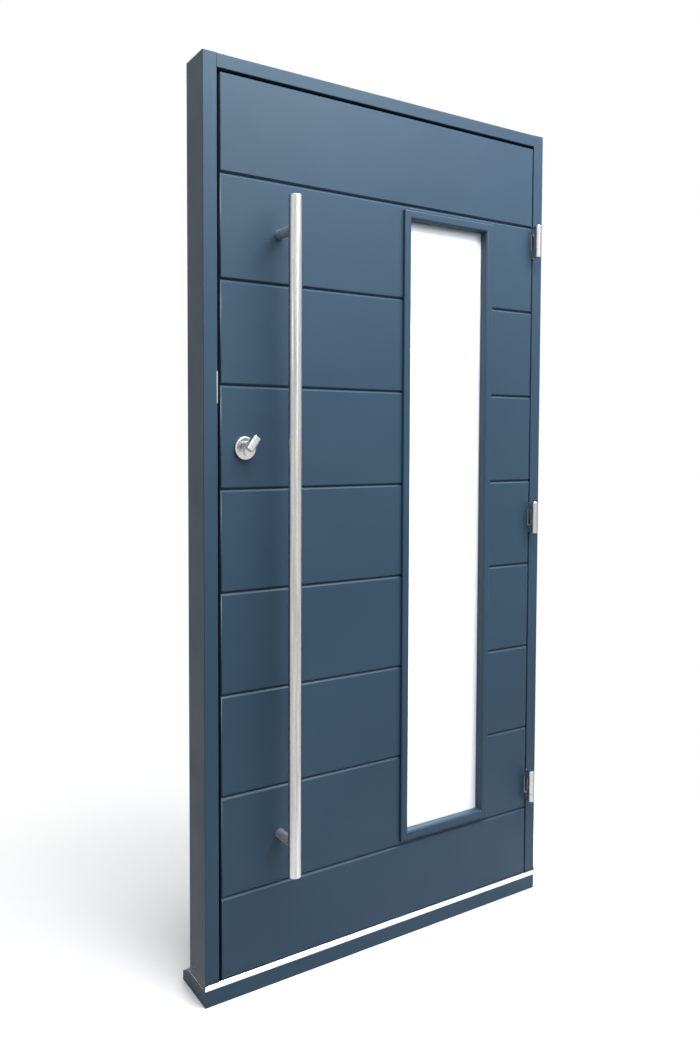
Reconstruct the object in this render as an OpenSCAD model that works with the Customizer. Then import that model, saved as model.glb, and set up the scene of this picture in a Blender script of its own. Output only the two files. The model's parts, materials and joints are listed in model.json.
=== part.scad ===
// Entrance door set: a boarded, inward-opening leaf with a tall glazed slot, hung in its own frame.
// The photographed side is the inner one. It looks along +Y, with +X to the right and +Z up.
// The origin is the centre of the cill's underside.

/* [Frame] */
// Overall width of the frame
frame_w = 1020; // [960:5:1200]
// Overall height, from the underside of the cill to the top of the head
frame_h = 2100; // [2060:5:2300]
// Depth of the jambs and the head, inside to outside
jamb_d = 86; // [80:1:120]
// Width of a jamb's face beside the leaf
jamb_face = 34; // [32:1:60]
// Height of the head's face above the leaf
head_face = 31; // [28:1:60]
// How far the stop stands in past the face of the jamb and the head
stop_w = 14; // [12:1:24]
// Radius of the rounded timber arrises
arris_r = 2; // [1:0.5:3]

/* [Cill and threshold] */
// Depth of the cill, inside to outside
cill_d = 126; // [110:1:200]
// Height of the cill's inner face
cill_h = 38; // [30:1:60]
// Height of the cill's outer nose
nose_h = 22; // [14:1:28]
// Height of the threshold's bright inner edge
threshold_h = 13; // [8:0.5:20]
// Thickness of the threshold's plate and upstand
threshold_t = 3; // [2:0.5:5]
// Height of the threshold's upstand behind the leaf
upstand_h = 28; // [26:0.5:36]
// Gap shown between the threshold's edge and the end of a jamb
pad_show = 6; // [3:0.5:10]

/* [Leaf] */
// Thickness of the leaf
leaf_t = 54; // [50:1:60]
// Gap between the leaf and the lock jamb
gap_lock = 7; // [4.5:0.5:8]
// Gap between the leaf and the hinge jamb
gap_hinge = 4; // [2:0.5:5]
// Gap between the leaf and the head
gap_head = 8; // [3:0.5:10]
// Gap between the leaf and the threshold's edge
gap_foot = 4; // [3:0.5:8]
// Space for the seal between the leaf and the stops
seal_gap = 4; // [3:0.5:6]
// How many grooves divide the face into boards
groove_n = 8; // [7:1:8]
// Height of the lowest groove above the leaf's foot
groove_first = 184; // [150:1:200]
// Depth of the highest groove below the leaf's top
groove_last = 212; // [150:0.5:260]
// Width of a V groove at the face
groove_w = 10; // [4:0.5:12]
// Depth of a V groove
groove_d = 5; // [2:0.5:6]

/* [Glazing] */
// Width of glass in sight
sight_w = 248; // [180:1:300]
// Width of the mouldings round the glass
bead_w = 22; // [20:1:30]
// How far the mouldings stand proud of the leaf
bead_proud = 8; // [5:0.5:12]
// How far the mouldings lap over the leaf's face
bead_lip = 8; // [5:0.5:8]
// Distance from the leaf's hinge edge to the moulding
stile_w = 150; // [100:1:200]
// Distance from the moulding to the groove above or below it
mould_margin = 12; // [8:1:30]
// Thickness of one pane
pane_t = 4; // [3:0.5:6]
// Width of the sealed cavity between the panes
cavity_t = 16; // [10:1:16]
// Thickness of the glazing tape
tape_t = 2; // [1:0.5:3]
// Edge clearance round the sealed unit
unit_gap = 4; // [3:0.5:5]

/* [Pull handles] */
// Diameter of a pull bar
bar_dia = 30; // [24:1:40]
// Length of a pull bar
bar_len = 1520; // [1400:10:1700]
// Distance from a bar's end to the post nearest to it
post_in = 72; // [60:0.5:200]
// Diameter of a post
post_dia = 22; // [16:1:22]
// Distance from the leaf's face to the bar's axis
bar_stand = 70; // [55:1:90]
// Distance from the leaf's lock edge to the bar's axis
bar_in = 148; // [140:1:180]
// Diameter of the bolts that tie the two handles together
bolt_dia = 8; // [6:1:10]

/* [Lock] */
// Distance from the leaf's lock edge to the cylinder's axis
backset = 58; // [55:1:70]
// Height of the cylinder's axis above the leaf's foot, as a share of the leaf's height
cyl_share = 0.6; // [0.5:0.01:0.62]
// Diameter of the roses round the cylinder
rose_dia = 52; // [48:1:60]
// Thickness of the roses
rose_t = 8; // [6:0.5:12]
// How far the cylinder stands out of each rose
cyl_proud = 3; // [1:0.5:5]
// Angle of the thumb turn's blade from upright, clockwise from inside
turn_angle = 36; // [0:1:90]
// Length of the thumb turn's blade
turn_len = 36; // [30:1:44]
// How far the thumb turn stands out of the cylinder
turn_out = 35; // [28:1:40]
// Height of the latch above the cylinder
latch_up = 125; // [110:1:140]
// Height of the deadbolt above the cylinder
dead_up = 48; // [44:1:60]
// Depth of the upper hook's pivot below the leaf's top
hook_below = 266; // [200:0.5:330]
// Height of the lower hook's pivot above the leaf's foot
hook_above = 275; // [200:0.5:500]
// How far the latch bolt is thrown
latch_throw = 14; // [8:1:14]
// How far the deadbolt is thrown
dead_throw = 20; // [14:1:20]
// Thickness of the faceplate and of the keeps
plate_t = 3; // [2:0.5:4]
// Width of the faceplate
plate_w = 20; // [18:1:24]
// Thickness of the lock cases
case_t = 15; // [14:0.5:16]
// Thickness of the bolts and the hooks
bolt_t = 8; // [6:0.5:10]

/* [Hinges] */
// Height of a hinge
hinge_len = 84; // [76:1:110]
// Distance from the ends of the leaf to the middle of the outer hinges
hinge_inset = 252; // [180:1:300]
// Diameter of a hinge's barrel
barrel_dia = 16; // [11:0.5:18]
// Diameter of a hinge's pin
pin_dia = 6; // [5:0.5:7]
// Thickness of a hinge flap
flap_t = 2.5; // [2:0.25:3]
// How far a flap is let into the timber
flap_in = 32; // [28:1:44]
// Distance from the inner face to the hinge's axis
hinge_out = 20; // [16:0.5:24]

/* [Hidden] */
$fn = 48;
// Overlap of a cutter past the face that it cuts
eps = 1;
// Clearance of a bolt, a hook or a rod in its guide
guide_gap = 0.3;
// Radial clearance of a pin or a screw in its hole
run_gap = 0.05;
// Clearance of a seal from the leaf
touch_gap = 0.3;

// Places of the frame
x_left = -frame_w / 2;
x_right = frame_w / 2;
lock_face_x = x_left + jamb_face;
hinge_face_x = x_right - jamb_face;
rebate_d = leaf_t + seal_gap;
head_z = frame_h - head_face;
edge_top_z = cill_h + threshold_h;
jamb_z0 = edge_top_z + pad_show;
plate_top_z = cill_h + threshold_t;
upstand_top_z = cill_h + upstand_h;
edge_d = 6;
line_w = 1.5;
line_d = 1;
drip_w = 6;
drip_h = 4;

// Places of the leaf
leaf_x0 = lock_face_x + gap_lock;
leaf_x1 = hinge_face_x - gap_hinge;
leaf_w = leaf_x1 - leaf_x0;
leaf_z0 = edge_top_z + gap_foot;
leaf_z1 = head_z - gap_head;
leaf_h = leaf_z1 - leaf_z0;
groove_span = leaf_h - groove_first - groove_last;
groove_pitch = groove_span / (groove_n - 1);
mid_z = leaf_z0 + groove_first + groove_span / 2;

// Seals in the stops, with a barb that is pressed into a groove
seal_in = 1;
seal_w = 9;
seal_t = seal_gap - touch_gap;
barb_w = 3;
barb_d = 6;
barb_in = seal_in + seal_w / 2 - barb_w / 2;
pad_in = 1;

// Glazing
mould_w = sight_w + 2 * bead_w;
sight_h = groove_span - 2 * mould_margin - 2 * bead_w;
glass_x = leaf_x1 - stile_w - mould_w / 2;
bead_in = bead_w - bead_lip;
aperture_w = sight_w + 2 * bead_in;
aperture_h = sight_h + 2 * bead_in;
unit_w = aperture_w - 2 * unit_gap;
unit_h = aperture_h - 2 * unit_gap;
unit_t = 2 * pane_t + cavity_t;
glass_y = (leaf_t - unit_t) / 2;
bead_back = glass_y - tape_t;
inner_round = 6;
outer_round = 3;
spacer_w = 7;
spacer_in = 1;
tape_in = 1;
tape_w = bead_in - unit_gap - 2 * tape_in;
tape_ring_w = sight_w + 2 * (tape_w + tape_in);
tape_ring_h = sight_h + 2 * (tape_w + tape_in);
block_len = 60;
block_in = unit_w / 4;

// Weather bar at the foot of the outer face
weather_h = 46;
weather_d = 24;
weather_lip = 8;
weather_end = 6;
weather_gap = 4;
weather_z0 = upstand_top_z + weather_gap;

// Pull handles
bar_x = leaf_x0 + bar_in;
post_r = post_dia / 2;
bar_r = bar_dia / 2;
bar_round = 1.5;
bolt_r = bolt_dia / 2;
bolt_in_post = 15;
post_half = bar_len / 2 - post_in;
post_z = [mid_z - post_half, mid_z + post_half];

// Lock
lock_y = leaf_t / 2;
cyl_x = leaf_x0 + backset;
cyl_z = leaf_z0 + cyl_share * leaf_h;
latch_z = cyl_z + latch_up;
dead_z = cyl_z + dead_up;
hook_z = [leaf_z0 + hook_above, leaf_z1 - hook_below];
plate_back_x = leaf_x0 + plate_t;
euro_r = 8.5;
euro_h = 33;
stem_w = 10;
rose_drop = euro_h / 2 - euro_r;
rod_r = 5;
plug_r = 6.5;
cam_t = 9.6;
cam_r = 8.2;
cam_nose_r = 15;
cam_nose_w = 7;
cam_clear = 1;
cam_slot = 10;
cam_room_r = 17;
cyl_y0 = -rose_t - cyl_proud;
cyl_y1 = leaf_t + rose_t + cyl_proud;
hub_r = 8;
hub_len = 20;
heel_short = 3;
turn_heel = turn_len / 2 - heel_short;
bolt_len = 42;
latch_h = 30;
latch_flat = 2;
dead_h = 38;
case_back = 24;
case_drop = 62;
case_rise = 50;
case_depth = backset + case_back;
case_z0 = cyl_z - case_drop;
case_z1 = latch_z + case_rise;
rod_room = 30;
rod_t = 3;
rod_w = 10;
rod_in = 1;
rod_stop = 2;
rod_x = plate_back_x + rod_in;
rod_travel = 18;
rod_slot_gap = 0.5;
plate_over = 90;
plate_z0 = hook_z[0] - plate_over;
plate_z1 = hook_z[1] + plate_over;

// Hooks, measured from their pivot with the hook drawn in and hanging down
hook_pivot = 16;
hook_boss_r = 8;
hook_arm_w = 10;
hook_reach = 38;
hook_beak = 7.5;
hook_beak_len = 10;
hook_bevel = 2;
hook_pin_r = 3;
hook_x = leaf_x0 + hook_pivot;
hook_case_depth = 40;
hook_case_low = 50;
hook_case_high = 50;
hook_sweep = norm([hook_arm_w / 2 + hook_beak, hook_reach]);
hook_slot_cut = 1;
hook_slot_over = 1.5;
hook_slot_low = hook_sweep - hook_slot_cut;
hook_slot_high = hook_arm_w / 2 + hook_slot_over;

// Screws of the faceplate: the inner four pass the drive rods
plate_screw_z = [
    plate_z0 + plate_w / 2,
    hook_z[0] + hook_case_high + plate_w,
    case_z0 - plate_w,
    case_z1 + plate_w,
    hook_z[1] - hook_case_low - plate_w,
    plate_z1 - plate_w / 2
];

// Keeps
keep_w = 24;
keep_lip = 3;
keep_lip_h = 70;
keep_lip_proud = 0.8;
keep_lip_t = 2;
keep_room = 2;
keep_margin = 26;
hook_keep_low = hook_slot_low + keep_margin;
hook_keep_high = hook_slot_high + keep_margin;

// Hinges
hinge_x = (leaf_x1 + hinge_face_x) / 2;
hinge_y = -hinge_out;
hinge_z = [leaf_z0 + hinge_inset, (leaf_z0 + leaf_z1) / 2, leaf_z1 - hinge_inset];
barrel_r = barrel_dia / 2;
pin_r = pin_dia / 2;
knuckle_gap = 0.6;
end_knuckle = hinge_len / 4;
pin_head_t = 2;

// Countersunk screws
screw_r = 2;
screw_head_r = 4;
screw_head_h = 2;
screw_len = 26;
// Rows of a hinge's screws as shares of its height, and their two columns as shares of the flap
hinge_screw_rows = [-0.36, -0.14, 0.14, 0.36];
hinge_screw_columns = [0.36, 0.72];

// Colours, as the photograph shows them
paint = [0.27, 0.35, 0.43];
steel = [0.76, 0.76, 0.75];
bright = [0.86, 0.87, 0.88];
black = [0.06, 0.06, 0.07];
clear = [0.85, 0.92, 0.93, 0.35];
zinc = [0.62, 0.64, 0.66];

// Shared shapes

// Moves the set from the drawing datum, the inner face of the frame, to the cill's centre
module placed() {
    translate([0, -cill_d / 2, 0])
        children();
}

// Extrudes a (Y, Z) section along X
module along_x(x0, len) {
    translate([x0, 0, 0])
        rotate([90, 0, 90])
            linear_extrude(len)
                children();
}

// Extrudes an (X, Z) section along Y
module along_y(y0, len) {
    translate([0, y0 + len, 0])
        rotate([90, 0, 0])
            linear_extrude(len)
                children();
}

// Extrudes an (X, Y) section along Z
module along_z(z0, len) {
    translate([0, 0, z0])
        linear_extrude(len)
            children();
}

// A box between two corners
module block(low, high) {
    translate(low)
        cube(high - low);
}

// What rounding takes off a corner at (x, y) whose material lies towards (sx, sy)
module corner_cut(x, y, sx, sy, r) {
    translate([x + sx * r, y + sy * r])
        difference() {
            translate([sx > 0 ? -r - eps : 0, sy > 0 ? -r - eps : 0])
                square(r + eps);
            circle(r);
        }
}

// Turns a shape drawn for the inner face over to the outer face
module outer_side() {
    translate([0, leaf_t, 0])
        mirror([0, 1, 0])
            children();
}

// A countersunk screw with its head's face at the origin, driven along -Z, or its hole
module screw(gap = 0) {
    translate([0, 0, -screw_head_h])
        cylinder(h = screw_head_h + gap, r1 = screw_r + gap, r2 = screw_head_r + gap);
    translate([0, 0, -screw_len - gap])
        cylinder(h = screw_len + gap, r = screw_r + gap);
}

// A rectangular ring round the glass, from one depth to another
module glass_ring(out_w, out_h, width, y0, y1) {
    difference() {
        block([glass_x - out_w / 2, y0, mid_z - out_h / 2], [glass_x + out_w / 2, y1, mid_z + out_h / 2]);
        block([glass_x - out_w / 2 + width, y0 - eps, mid_z - out_h / 2 + width],
              [glass_x + out_w / 2 - width, y1 + eps, mid_z + out_h / 2 - width]);
    }
}

// Frame

module jamb_section() {
    difference() {
        union() {
            square([jamb_face, jamb_d]);
            translate([0, rebate_d])
                square([jamb_face + stop_w, jamb_d - rebate_d]);
        }
        corner_cut(0, 0, 1, 1, arris_r);
        corner_cut(jamb_face, 0, -1, 1, arris_r);
        corner_cut(0, jamb_d, 1, -1, arris_r);
        corner_cut(jamb_face + stop_w, jamb_d, -1, -1, arris_r);
        translate([jamb_face + barb_in, rebate_d - eps])
            square([barb_w, barb_d + eps]);
    }
}

// A jamb drawn from its outer face, notched over the threshold's upstand
module jamb_blank() {
    difference() {
        along_z(jamb_z0, frame_h - jamb_z0)
            jamb_section();
        block([-eps, rebate_d - guide_gap, jamb_z0 - eps],
              [jamb_face + stop_w + eps, rebate_d + threshold_t + guide_gap, upstand_top_z + guide_gap]);
    }
}

module lock_jamb() {
    color(paint)
        difference() {
            translate([x_left, 0, 0])
                jamb_blank();
            latch_keep_plate(eps);
            for (z = hook_z)
                hook_keep_plate(z, eps);
            keep_pocket(latch_z, latch_h, latch_throw);
            keep_pocket(dead_z, dead_h, dead_throw);
            for (z = hook_z)
                hook_pocket(z);
            keep_screw_places()
                screw(run_gap);
        }
}

module hinge_jamb() {
    color(paint)
        difference() {
            translate([x_right, 0, 0])
                mirror([1, 0, 0])
                    jamb_blank();
            for (z = hinge_z)
                block([hinge_face_x - eps, -eps, z - hinge_len / 2],
                      [hinge_face_x + flap_t, flap_in, z + hinge_len / 2]);
            hinge_screw_places(hinge_face_x, 1)
                screw(run_gap);
        }
}

module frame_head() {
    color(paint) {
        along_x(lock_face_x, frame_w - 2 * jamb_face)
            difference() {
                translate([0, head_z])
                    square([rebate_d, head_face]);
                corner_cut(0, head_z, 1, 1, arris_r);
                corner_cut(0, frame_h, 1, -1, arris_r);
            }
        along_x(lock_face_x + stop_w, frame_w - 2 * (jamb_face + stop_w))
            difference() {
                translate([rebate_d, head_z - stop_w])
                    square([jamb_d - rebate_d, head_face + stop_w]);
                corner_cut(jamb_d, head_z - stop_w, -1, 1, arris_r);
                corner_cut(jamb_d, frame_h, -1, -1, arris_r);
                translate([rebate_d - eps, head_z - barb_in - barb_w])
                    square([barb_d + eps, barb_w]);
            }
    }
}

module cill() {
    color(paint)
        along_x(x_left, frame_w)
            difference() {
                polygon([[0, 0], [cill_d, 0], [cill_d, nose_h], [jamb_d, cill_h], [0, cill_h]]);
                corner_cut(cill_d, 0, -1, 1, arris_r);
                translate([cill_d - 3 * drip_w, -eps])
                    square([drip_w, drip_h + eps]);
            }
}

module threshold_bar() {
    color(bright)
        along_x(x_left, frame_w)
            difference() {
                union() {
                    translate([0, cill_h])
                        square([jamb_d, threshold_t]);
                    translate([0, cill_h])
                        square([edge_d, threshold_h]);
                    translate([rebate_d, cill_h])
                        square([threshold_t, upstand_h]);
                }
                corner_cut(0, edge_top_z, 1, -1, arris_r);
                corner_cut(edge_d, edge_top_z, -1, -1, arris_r);
                translate([-eps, cill_h + threshold_h / 2 - line_w / 2])
                    square([line_d + eps, line_w]);
            }
}

module threshold_seal() {
    color(black)
        along_x(lock_face_x + touch_gap, frame_w - 2 * (jamb_face + touch_gap))
            difference() {
                translate([rebate_d - seal_t, upstand_top_z - seal_w])
                    square([seal_t, seal_w]);
                corner_cut(rebate_d - seal_t, upstand_top_z, 1, -1, seal_t / 2);
                corner_cut(rebate_d - seal_t, upstand_top_z - seal_w, 1, 1, seal_t / 2);
            }
}

// A sealing block under each jamb, between the threshold's edge and its rear
module jamb_pad() {
    difference() {
        block([pad_in, edge_d, plate_top_z], [jamb_face - pad_in, jamb_d - arris_r, jamb_z0]);
        block([0, rebate_d, plate_top_z - eps], [jamb_face, rebate_d + threshold_t, jamb_z0 + eps]);
    }
}

module jamb_pads() {
    color(black) {
        translate([x_left, 0, 0])
            jamb_pad();
        translate([x_right, 0, 0])
            mirror([1, 0, 0])
                jamb_pad();
    }
}

// A seal against the leaf's outer face, with its barb in the stop's groove, drawn across the stop
module seal_section() {
    difference() {
        translate([seal_in, -seal_t])
            square([seal_w, seal_t]);
        corner_cut(seal_in, -seal_t, 1, 1, seal_t / 2);
        corner_cut(seal_in + seal_w, -seal_t, -1, 1, seal_t / 2);
    }
    translate([barb_in, 0])
        square([barb_w, barb_d]);
}

module jamb_seal() {
    along_z(upstand_top_z + touch_gap, head_z - upstand_top_z - touch_gap)
        translate([jamb_face, rebate_d])
            seal_section();
}

module lock_side_seal() {
    color(black)
        translate([x_left, 0, 0])
            jamb_seal();
}

module hinge_side_seal() {
    color(black)
        translate([x_right, 0, 0])
            mirror([1, 0, 0])
                jamb_seal();
}

module head_seal() {
    seal_inset = stop_w + touch_gap;
    color(black)
        along_x(lock_face_x + seal_inset, frame_w - 2 * (jamb_face + seal_inset))
            translate([rebate_d, head_z])
                rotate(-90)
                    seal_section();
}

// Keeps in the lock jamb

// The plate with its bright lip, or the recess for it, which runs past the jamb's face
module latch_keep_plate(over = 0) {
    x1 = lock_face_x + over;
    block([lock_face_x - plate_t, lock_y - keep_w / 2, dead_z - dead_h / 2 - keep_margin],
          [x1, lock_y + keep_w / 2, latch_z + latch_h / 2 + keep_margin]);
    block([lock_face_x - plate_t, keep_lip_t / 2, latch_z - keep_lip_h / 2],
          [x1, lock_y, latch_z + keep_lip_h / 2]);
    block([lock_face_x - keep_lip, -keep_lip_proud, latch_z - keep_lip_h / 2],
          [x1, keep_lip_t, latch_z + keep_lip_h / 2]);
}

// The hollow behind a keep for a sliding bolt
module keep_pocket(z, h, throw) {
    half_t = bolt_t / 2 + keep_room;
    block([lock_face_x + gap_lock - throw - keep_room, lock_y - half_t, z - h / 2 - keep_room],
          [lock_face_x + eps, lock_y + half_t, z + h / 2 + keep_room]);
}

module hook_keep_plate(z, over = 0) {
    block([lock_face_x - plate_t, lock_y - keep_w / 2, z - hook_keep_low],
          [lock_face_x + over, lock_y + keep_w / 2, z + hook_keep_high]);
}

// The hook passes the plate's slot and rises behind its upper end
module hook_slot(z, x0, x1) {
    half_t = bolt_t / 2 + 2 * guide_gap;
    block([x0, lock_y - half_t, z - hook_slot_low], [x1, lock_y + half_t, z + hook_slot_high]);
}

module hook_pocket(z) {
    half_t = bolt_t / 2 + keep_room;
    block([hook_x - hook_sweep - keep_room, lock_y - half_t, z - hook_slot_low],
          [lock_face_x - plate_t + touch_gap, lock_y + half_t, z + hook_arm_w / 2 + hook_beak + keep_room]);
}

module keep_screw_places() {
    rows = concat([dead_z - dead_h / 2 - keep_margin / 2, latch_z + latch_h / 2 + keep_margin / 2],
                  [for (z = hook_z) z - hook_slot_low - keep_margin / 2],
                  [for (z = hook_z) z + hook_slot_high + keep_margin / 2]);
    for (z = rows)
        translate([lock_face_x, lock_y, z])
            rotate([0, 90, 0])
                children();
}

module latch_keep() {
    color(steel)
        difference() {
            latch_keep_plate();
            keep_pocket(latch_z, latch_h, latch_throw);
            keep_pocket(dead_z, dead_h, dead_throw);
            keep_screw_places()
                screw(run_gap);
        }
}

module hook_keep(z) {
    color(steel)
        difference() {
            hook_keep_plate(z);
            hook_slot(z, lock_face_x - plate_t - eps, lock_face_x + eps);
            keep_screw_places()
                screw(run_gap);
        }
}

module upper_hook_keep() {
    hook_keep(hook_z[1]);
}

module lower_hook_keep() {
    hook_keep(hook_z[0]);
}

module keep_screws() {
    color(steel)
        keep_screw_places()
            screw();
}

// Hinges: the frame flap carries the middle knuckle, the leaf flap the two end ones

// Screws through the flaps at face x, driven towards +X for side 1 and -X for side -1
module hinge_screw_places(x, side) {
    for (z = hinge_z)
        for (row = [0 : len(hinge_screw_rows) - 1])
            translate([x, flap_in * hinge_screw_columns[row % 2], z + hinge_screw_rows[row] * hinge_len])
                rotate([0, -90 * side, 0])
                    children();
}

module knuckle(z0, len) {
    translate([hinge_x, hinge_y, z0])
        cylinder(h = len, r = barrel_r);
}

module pin_hole(z) {
    translate([hinge_x, hinge_y, z - hinge_len])
        cylinder(h = 2 * hinge_len, r = pin_r + run_gap);
}

module frame_flap(z) {
    mid_len = hinge_len - 2 * (end_knuckle + knuckle_gap);
    color(steel)
        difference() {
            union() {
                block([hinge_face_x, 0, z - hinge_len / 2],
                      [hinge_face_x + flap_t, flap_in, z + hinge_len / 2]);
                block([hinge_face_x, hinge_y, z - mid_len / 2],
                      [hinge_face_x + flap_t, eps, z + mid_len / 2]);
                knuckle(z - mid_len / 2, mid_len);
            }
            pin_hole(z);
            hinge_screw_places(hinge_face_x, 1)
                screw(run_gap);
        }
}

module leaf_flap(z) {
    notch = hinge_len / 2 - end_knuckle;
    color(steel)
        difference() {
            union() {
                block([leaf_x1 - flap_t, 0, z - hinge_len / 2], [leaf_x1, flap_in, z + hinge_len / 2]);
                for (z0 = [z - hinge_len / 2, z + notch]) {
                    block([leaf_x1 - flap_t, hinge_y, z0], [leaf_x1, eps, z0 + end_knuckle]);
                    knuckle(z0, end_knuckle);
                }
            }
            pin_hole(z);
            hinge_screw_places(leaf_x1, -1)
                screw(run_gap);
        }
}

module upper_hinge_frame_flap() {
    frame_flap(hinge_z[2]);
}

module middle_hinge_frame_flap() {
    frame_flap(hinge_z[1]);
}

module lower_hinge_frame_flap() {
    frame_flap(hinge_z[0]);
}

module upper_hinge_leaf_flap() {
    leaf_flap(hinge_z[2]);
}

module middle_hinge_leaf_flap() {
    leaf_flap(hinge_z[1]);
}

module lower_hinge_leaf_flap() {
    leaf_flap(hinge_z[0]);
}

module hinge_pins() {
    color(steel)
        for (z = hinge_z)
            translate([hinge_x, hinge_y, z - hinge_len / 2]) {
                cylinder(h = hinge_len + knuckle_gap, r = pin_r);
                translate([0, 0, hinge_len + run_gap])
                    cylinder(h = pin_head_t, r1 = barrel_r, r2 = barrel_r - pin_head_t / 2);
            }
}

module hinge_frame_screws() {
    color(steel)
        hinge_screw_places(hinge_face_x, 1)
            screw();
}

module hinge_leaf_screws() {
    color(steel)
        hinge_screw_places(leaf_x1, -1)
            screw();
}

// Leaf

// One V groove across the inner face
module groove(z) {
    along_x(leaf_x0 - eps, leaf_w + 2 * eps)
        polygon([[-eps, z - groove_w / 2], [0, z - groove_w / 2], [groove_d, z],
                 [0, z + groove_w / 2], [-eps, z + groove_w / 2]]);
}

module leaf_blank() {
    along_z(leaf_z0, leaf_h)
        difference() {
            translate([leaf_x0, 0])
                square([leaf_w, leaf_t]);
            corner_cut(leaf_x0, 0, 1, 1, arris_r);
            corner_cut(leaf_x1, 0, -1, 1, arris_r);
            corner_cut(leaf_x0, leaf_t, 1, -1, arris_r);
            corner_cut(leaf_x1, leaf_t, -1, -1, arris_r);
        }
}

module all_grooves() {
    for (i = [0 : groove_n - 1])
        groove(leaf_z0 + groove_first + i * groove_pitch);
}

// The mortices for the faceplate, the cases and the rods between them
module lock_mortice() {
    case_half = case_t / 2 + guide_gap;
    rod_half = rod_w / 2 + guide_gap;
    hook_case_x = plate_back_x + hook_case_depth + guide_gap;
    x0 = plate_back_x - eps;
    faceplate_blank(eps);
    block([x0, lock_y - case_half, case_z0 - guide_gap],
          [plate_back_x + case_depth + guide_gap, lock_y + case_half, case_z1 + guide_gap]);
    for (z = hook_z)
        block([x0, lock_y - case_half, z - hook_case_low - guide_gap],
              [hook_case_x, lock_y + case_half, z + hook_case_high + guide_gap]);
    block([x0, lock_y - rod_half, hook_z[0]], [rod_x + rod_t + guide_gap, lock_y + rod_half, hook_z[1]]);
}

module door_leaf() {
    color(paint)
        difference() {
            leaf_blank();
            all_grooves();
            outer_side()
                all_grooves();
            block([glass_x - aperture_w / 2, -eps, mid_z - aperture_h / 2],
                  [glass_x + aperture_w / 2, leaf_t + eps, mid_z + aperture_h / 2]);
            lock_mortice();
            faceplate_screw_places()
                screw(run_gap);
            along_y(-eps, leaf_t + 2 * eps)
                euro_section(guide_gap);
            for (z = hinge_z)
                block([leaf_x1 - flap_t, -eps, z - hinge_len / 2],
                      [leaf_x1 + eps, flap_in, z + hinge_len / 2]);
            hinge_screw_places(leaf_x1, -1)
                screw(run_gap);
            for (z = post_z)
                translate([bar_x, -eps, z])
                    rotate([-90, 0, 0])
                        cylinder(h = leaf_t + 2 * eps, r = bolt_r + run_gap);
        }
}

module weather_bar() {
    color(paint)
        along_x(lock_face_x + stop_w + weather_end, frame_w - 2 * (jamb_face + stop_w + weather_end))
            difference() {
                translate([leaf_t, weather_z0])
                    polygon([[0, 0], [weather_d, 0], [weather_d, weather_lip],
                             [weather_lip, weather_h], [0, weather_h]]);
                corner_cut(leaf_t + weather_d, weather_z0, -1, 1, arris_r);
                translate([leaf_t + weather_d - 2 * drip_w, weather_z0 - eps])
                    square([drip_w, drip_h + eps]);
            }
}

// Glazing

module inner_pane() {
    color(clear)
        block([glass_x - unit_w / 2, glass_y, mid_z - unit_h / 2],
              [glass_x + unit_w / 2, glass_y + pane_t, mid_z + unit_h / 2]);
}

module outer_pane() {
    outer_side()
        inner_pane();
}

module glazing_spacer() {
    color(black)
        glass_ring(unit_w - 2 * spacer_in, unit_h - 2 * spacer_in, spacer_w,
                   glass_y + pane_t, leaf_t - glass_y - pane_t);
}

module setting_blocks() {
    foot_z = mid_z - aperture_h / 2;
    color(black)
        for (side = [-1, 1])
            block([glass_x + side * block_in - block_len / 2, glass_y, foot_z],
                  [glass_x + side * block_in + block_len / 2, glass_y + unit_t, foot_z + unit_gap]);
}

module glazing_tapes() {
    color(black) {
        glass_ring(tape_ring_w, tape_ring_h, tape_w, bead_back, glass_y);
        outer_side()
            glass_ring(tape_ring_w, tape_ring_h, tape_w, bead_back, glass_y);
    }
}

// Section of a moulding, from the edge of the glass in sight outwards, and from its face to the tape
module bead_section() {
    difference() {
        union() {
            translate([0, -bead_proud])
                square([bead_in, bead_back + bead_proud]);
            translate([0, -bead_proud])
                square([bead_w, bead_proud]);
        }
        corner_cut(0, -bead_proud, 1, 1, inner_round);
        corner_cut(bead_w, -bead_proud, -1, 1, outer_round);
    }
}

// A mitred length of moulding beside an upright edge of the glass
module bead(sight) {
    full = sight + 2 * bead_w;
    color(paint)
        intersection() {
            along_z(-full / 2, full)
                bead_section();
            along_y(-bead_proud - eps, bead_proud + bead_back + 2 * eps)
                polygon([[0, -sight / 2], [bead_w, -full / 2], [bead_w, full / 2], [0, sight / 2]]);
        }
}

module inner_hinge_bead() {
    translate([glass_x + sight_w / 2, 0, mid_z])
        bead(sight_h);
}

module inner_lock_bead() {
    translate([glass_x - sight_w / 2, 0, mid_z])
        mirror([1, 0, 0])
            bead(sight_h);
}

module inner_top_bead() {
    translate([glass_x, 0, mid_z + sight_h / 2])
        rotate([0, -90, 0])
            bead(sight_w);
}

module inner_bottom_bead() {
    translate([glass_x, 0, mid_z - sight_h / 2])
        rotate([0, 90, 0])
            bead(sight_w);
}

module outer_hinge_bead() {
    outer_side()
        inner_hinge_bead();
}

module outer_lock_bead() {
    outer_side()
        inner_lock_bead();
}

module outer_top_bead() {
    outer_side()
        inner_top_bead();
}

module outer_bottom_bead() {
    outer_side()
        inner_bottom_bead();
}

// Pull handles

module inner_pull_bar() {
    color(steel)
        translate([bar_x, -bar_stand, mid_z - bar_len / 2])
            rotate_extrude()
                difference() {
                    square([bar_r, bar_len]);
                    corner_cut(bar_r, 0, -1, 1, bar_round);
                    corner_cut(bar_r, bar_len, -1, -1, bar_round);
                }
}

module inner_posts() {
    color(steel)
        for (z = post_z)
            difference() {
                translate([bar_x, 0, z])
                    rotate([90, 0, 0])
                        cylinder(h = bar_stand, r = post_r);
                translate([bar_x, -bar_stand, z - post_dia])
                    cylinder(h = 2 * post_dia, r = bar_r + run_gap);
                translate([bar_x, eps, z])
                    rotate([90, 0, 0])
                        cylinder(h = bolt_in_post + eps, r = bolt_r + run_gap);
            }
}

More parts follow.
